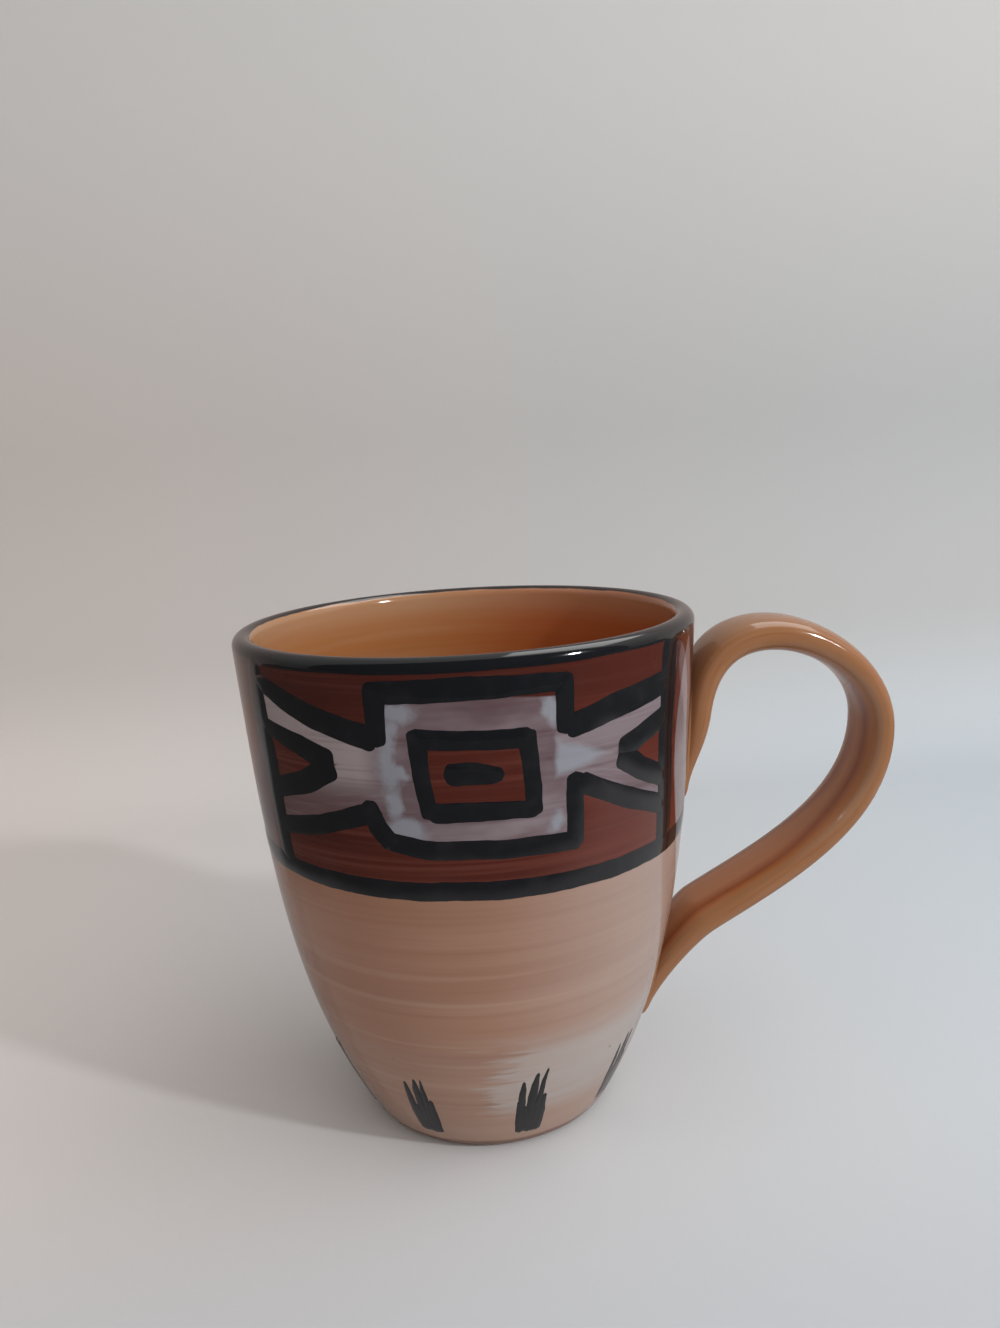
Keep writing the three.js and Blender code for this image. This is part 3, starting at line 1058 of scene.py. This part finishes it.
    # Inside: ochre in turned streaks, under the black lip, with painted shade on the handle side and deep
    # down, and a painted sheen just under the rim
    inner = graph.attribute("inner")
    base = graph.blend(graph.step(inner, 0.4, 0.6), outside, coated(paint["ochre"], "inside"))
    lipEdge = height + handRise * paint["lipHand"]
    lip = [graph.step(lipEdge, *paint[label]) for label in ("lipOutside", "lipInside")]
    base = graph.blend(graph.blend(inner, *lip), base, paint["black"])
    finishGlaze(graph, place, base, *glaze["cup"])
    return material


def blackStroke():
    material, graph, place = newMaterial("black_stroke")
    thin = graph.step(graph.noise(place, 300.0, 3.0), 0.45, 0.8)
    finishGlaze(graph, place, graph.blend(thin, paint["black"], paint["blackThin"]), *glaze["cup"])
    return material


caramel = {
    "base": (0.270, 0.124, 0.056),
    "pale": (0.288, 0.138, 0.068),
    "brown": (0.235, 0.084, 0.034),
    "crown": (0.470, 0.300, 0.205),
    "innerFace": (0.440, 0.166, 0.062),
    "paintedShade": (0.225, 0.055, 0.016),
    "shadePlace": 0.58,
    "shadeShift": 0.26,
    "shadeReach": 0.30,
    "shadeLeast": 0.6,
    "shadeMore": 0.6,
    "innerSpan": (-0.45, -0.8),
    "crownSpan": (0.6, 0.95),
    "crownRise": (82 * mm, 93 * mm),
    "crownShare": 0.3,
    "edgePlace": -0.45,
    "edgeReach": 0.4,
    "edgeLightShare": 0.42,
    "bowSpan": (60 * mm, 76 * mm),
    "innerLightShare": 0.7,
    "cloudScale": 60.0,
    "dragScale": (7.0, 5.0, 5.0),
    "coats": [("cloud", 0.35, 0.7, 1.0, "pale"), ("drag", 0.46, 0.70, 0.55, "brown")],
}


def caramelGlaze():
    material, graph, place = newMaterial("caramel_glaze")
    x, _, z = graph.split(place)
    along, around, outer = [graph.attribute(label) for label in ("along", "around", "outer")]
    cloud = graph.noise(place, caramel["cloudScale"], 3.0)
    spot = graph.vectorMath("MULTIPLY", graph.vector(along, around, outer), caramel["dragScale"])
    drag = graph.noise(spot, 1.0, 3.0, 0.6)
    base = graph.coated(caramel["base"], caramel["coats"], {"cloud": cloud, "drag": drag}, caramel)
    # Painted light: the inner face, turned from the lamps, is coloured brighter and redder
    innerFace = graph.step(outer, *caramel["innerSpan"])
    base = graph.blend(innerFace * caramel["innerLightShare"], base, caramel["innerFace"])
    # Painted sheen over the crown, and painted light on the edges of the inner face at the bow, which turn
    # away from the lamps
    crown = graph.step(outer, *caramel["crownSpan"]) * graph.step(z, *caramel["crownRise"])
    edge = graph.most(1.0 - abs(outer - caramel["edgePlace"]) / caramel["edgeReach"], 0.0)
    bow = graph.step(x, *caramel["bowSpan"])
    pale = graph.most(crown * caramel["crownShare"], edge * bow * caramel["edgeLightShare"])
    base = graph.blend(pale, base, caramel["crown"])
    # A painted shade line, dark deep red, along each side of the inner face
    line = caramel["shadePlace"] - caramel["shadeShift"] * bow
    shadeLine = graph.most(1.0 - abs(abs(around) - line) / caramel["shadeReach"], 0.0) * innerFace
    base = graph.blend(shadeLine * (caramel["shadeLeast"] + caramel["shadeMore"] * cloud), base, caramel["paintedShade"])
    finishGlaze(graph, place, base, *glaze["handle"])
    return material


# Studio
studio = {
    "sweepStart": 0.19,
    "sweepRadius": 0.14,
    "wallTop": 0.5,
    "wallHalf": 0.9,
    "reach": 2.2,
    "sweepSteps": 24,
    "horizon": (0.34, 0.30, 0.272),
    "zenith": (0.80, 0.765, 0.74),
    "shade": 0.6,
    "backdrop": (0.46, 0.46, 0.46),
    # Paper colours with painted light: warmer and brighter on the left, cool on the right, darker near the
    # camera and paler up the wall
    "floorWarm": (0.745, 0.675, 0.635),
    "floorCool": (0.580, 0.636, 0.678),
    "floorNearShade": (0.524, 0.550, 0.583),
    "wallWarm": (0.515, 0.473, 0.448),
    "wallCool": (0.445, 0.445, 0.44),
    "wallLitHigh": (0.56, 0.55, 0.535),
    "grain": (0.20, 0.20, 0.20),
    "grainScale": 900.0,
    "grainShare": 0.04,
    "turnUp": (-0.02, 0.05),
    "floorCoats": [("across", -0.22, 0.2, 1.0, "floorCool"), ("ahead", -0.02, -0.09, 0.9, "floorNearShade")],
    "wallCoats": [("across", -0.22, 0.2, 1.0, "wallCool"), ("up", 0.10, 0.34, 1.0, "wallLitHigh")],
    "skyRise": (-0.1, 0.9),
    "skyShift": (-0.7, 0.7),
}


def makeStage():
    profile = [(-studio["reach"], 0.0)]
    radius = studio["sweepRadius"]
    for i in range(studio["sweepSteps"] + 1):
        angle = i / studio["sweepSteps"] * math.pi / 2
        profile.append((studio["sweepStart"] + radius * math.sin(angle), radius * (1 - math.cos(angle))))
    profile.append((studio["sweepStart"] + radius, studio["wallTop"]))
    halves = [studio["reach"]] * 2 + [studio["wallHalf"]] * (len(profile) - 2)
    points = [(side * half, y, z) for half, (y, z) in zip(halves, profile) for side in (-1, 1)]
    faces = [(2 * i, 2 * i + 1, 2 * i + 3, 2 * i + 2) for i in range(len(profile) - 1)]
    mesh = bpy.data.meshes.new("paper_sweep")
    mesh.from_pydata(points, [], faces)
    mesh.polygons.foreach_set("use_smooth", [True] * len(faces))
    material, graph, place = newMaterial("paper")
    masks = dict(zip(("across", "ahead", "up"), graph.split(place)))
    ground = graph.coated(studio["floorWarm"], studio["floorCoats"], masks, studio)
    wall = graph.coated(studio["wallWarm"], studio["wallCoats"], masks, studio)
    base = graph.blend(graph.step(masks["up"], *studio["turnUp"]), ground, wall)
    grain = graph.noise(place, studio["grainScale"], 3.0) * studio["grainShare"]
    base = graph.blend(grain, base, studio["grain"])
    finishMaterial(graph, {"Base Color": base, "Roughness": 0.7, "Specular IOR Level": 0.2})
    mesh.materials.append(material)
    floor = newObject("paper_sweep", mesh)


# Painted reflections: black cloth with a soft-edged white table top in it and a wall at its back, which only
# the glaze mirrors
flag = {
    "left": -0.125,
    "spread": 0.25,
    "right": 0.21,
    "near": -0.11,
    "cut": -0.150,
    "back": 0.185,
    "soft": 0.03,
    "reach": 1.2,
    "front": -0.24,
    "top": 0.9,
    "backTop": 0.34,
    "lay": 0.5 * mm,
    "cloth": (0.10, 0.095, 0.09),
    "table": (0.455, 0.445, 0.445),
    "wall": (0.47, 0.402, 0.374),
    "spreadSpan": (0.05, 0.22),
    "cutSlant": 0.7,
    "wallSpan": (0.0, 0.1),
    "wallFoot": (0.0, 0.012),
}


def makeFlag():
    reach, front, back, lay = flag["reach"], flag["front"], flag["back"], flag["lay"]
    top, backTop = flag["top"], flag["backTop"]
    points = [(-reach, back, lay), (reach, back, lay), (reach, front, lay), (-reach, front, lay),
              (reach, front, top), (-reach, front, top), (-reach, back, backTop), (reach, back, backTop)]
    mesh = bpy.data.meshes.new("black_flag")
    mesh.from_pydata(points, [], [(3, 2, 1, 0), (2, 3, 5, 4), (0, 1, 7, 6)])
    material, graph, place = newMaterial("black_cloth")
    across, along, up = graph.split(place)
    left = flag["left"] - flag["spread"] * graph.step(along, *flag["spreadSpan"])
    inTable = graph.least(across - left, flag["right"] - across, along - flag["near"],
                          (across + along - flag["cut"]) * flag["cutSlant"])
    table = graph.step(inTable, -flag["soft"], flag["soft"])
    base = graph.blend(table, flag["cloth"], flag["table"])
    wall = graph.step(along, *flag["wallSpan"]) * graph.step(up, *flag["wallFoot"])
    base = graph.blend(wall, base, flag["wall"])
    finishMaterial(graph, {"Base Color": base, "Roughness": 1.0, "Specular IOR Level": 0.0})
    mesh.materials.append(material)
    cloth = newObject("black_flag", mesh)
    for ray in ("camera", "diffuse", "shadow", "transmission"):
        setattr(cloth, "visible_" + ray, False)


# Lamps: name, place, target, size, power, tint, and the rays that miss it besides those of the camera
lamps = [
    ("key", (0.95, -0.30, 0.85), (0, 0, 0.04), 2.0, 10.8, (0.92, 1.0, 1.07), "glossy"),
    ("sheen", (0.95, -0.30, 0.85), (0, 0, 0.04), 2.0, 24.0, (0.97, 1.0, 1.03), "diffuse"),
    ("ceiling", (0.42, 0.22, 0.8), (0.42, 0.22, 0), 0.6, 3.4, (1.0, 1.0, 1.0), "diffuse"),
    ("fill", (0.15, -1.0, 0.32), (0, 0, 0.05), 0.8, 2.6, (1.0, 0.92, 0.86), "glossy"),
    ("spark", (0.70, -0.58, 0.55), (0, 0, 0.06), 0.06, 3.7, (0.97, 1.0, 1.03), None),
    ("glint", (0.269, -0.216, 0.293), (0.06, 0, 0.095), 0.03, 1.0, (1.0, 1.0, 1.0), "diffuse"),
]


def makeLamp(name, place, target, size, power, tint, unseenBy):
    data = bpy.data.lights.new(name, "AREA")
    data.size = size
    data.energy = power
    data.color = tint
    lamp = newObject(name, data)
    lamp.visible_camera = False
    if unseenBy:
        setattr(lamp, "visible_" + unseenBy, False)
    aim = (Vector(target) - Vector(place)).to_track_quat("-Z", "Y")
    lamp.matrix_world = Matrix.Translation(place) @ aim.to_matrix().to_4x4()


def makeWorld():
    world = bpy.data.worlds.new("studio")
    scene.world = world
    world.use_nodes = True
    world.node_tree.nodes.clear()
    graph = Graph(world.node_tree)
    way = graph.split(graph.wire("ShaderNodeTexCoord", out="Generated"))
    sky = graph.blend(graph.step(way[2], *studio["skyRise"]), studio["horizon"], studio["zenith"])
    shade = studio["shade"] + (1.0 - studio["shade"]) * graph.step(way[0], *studio["skyShift"])
    sky = graph.vectorMath("SCALE", sky, shade)
    tone = graph.blend(graph.wire("ShaderNodeLightPath", out="Is Camera Ray"), sky, studio["backdrop"])
    light = graph.node("ShaderNodeBackground", None, {"Color": tone, "Strength": 1.0})
    output = graph.node("ShaderNodeOutputWorld")
    world.node_tree.links.new(light.outputs[0], output.inputs[0])


# Camera
camera = {
    "focalPixels": 1100.74,
    "imageHeight": 1328,
    "sensor": 36.0,
    "clipStart": 5 * mm,
    "place": Vector((-7.458, -213.563, 132.159)) * mm,
    "pan": math.radians(3.772),
    "pitch": math.radians(11.223),
    "roll": math.radians(-3.228),
}


def makeCamera():
    data = bpy.data.cameras.new("camera")
    data.sensor_fit = "AUTO"
    data.sensor_width = camera["sensor"]
    data.lens = camera["focalPixels"] / camera["imageHeight"] * camera["sensor"]
    data.clip_start = camera["clipStart"]
    eye = newObject("camera", data)
    turn = Matrix.Rotation(-camera["pan"], 4, "Z") @ Matrix.Rotation(math.pi / 2 - camera["pitch"], 4, "X")
    eye.matrix_world = Matrix.Translation(camera["place"]) @ turn @ Matrix.Rotation(camera["roll"], 4, "Z")
    scene.camera = eye


cupPiece = makeCup(paintedGlaze())
print("cup:", len(cupPiece.data.polygons), "faces")
handleGlaze = caramelGlaze()
strapPiece, strapRings = makeStrap(handleGlaze)
print("strap:", len(strapPiece.data.polygons), "faces")
strapSkin = BVHTree.FromPolygons(
    [v.co for v in strapPiece.data.vertices], [tuple(p.vertices) for p in strapPiece.data.polygons])
crownRing = strap["tipSteps"] + 2 * strap["spanSteps"]
bowRing = crownRing + strap["spanSteps"]
upperFillet = makeFillet("upper_joint_fillet", strapRings, crownRing, -1, strapSkin, handleGlaze)
lowerFillet = makeFillet("lower_joint_fillet", strapRings, bowRing, 1, strapSkin, handleGlaze)
print("fillets done")

strokeTree = brushTree(blackStroke())
bandRadius = wallRadius(brush["bandHeight"])
bandPiece = makeStrokes("band_strokes", bandStrokes(), bandRadius, panel["seed"], strokeTree, cupPiece)
print("band strokes:", len(bandPiece.data.polygons), "faces")
dabRadius = wallRadius(dab["patternHeight"])
dabPiece = makeStrokes("foot_dabs", dabStrokes(), dabRadius, dab["seed"], strokeTree, cupPiece)
print("foot dabs:", len(dabPiece.data.polygons), "faces")

makeStage()
makeFlag()
makeWorld()
for lamp in lamps:
    makeLamp(*lamp)
makeCamera()
scene.view_settings.view_transform = "Standard"

for piece, node, slot in [
    (cupPiece, "cup_body", "painted_glaze"),
    (strapPiece, "handle", "caramel_glaze"),
    (upperFillet, "upper_slip_joint", "slip_clay"),
    (lowerFillet, "lower_slip_joint", "slip_clay"),
    (bandPiece, None, "painted_glaze"),
    (dabPiece, None, "painted_glaze"),
]:
    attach(piece, "root")
    if node:
        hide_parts(node)
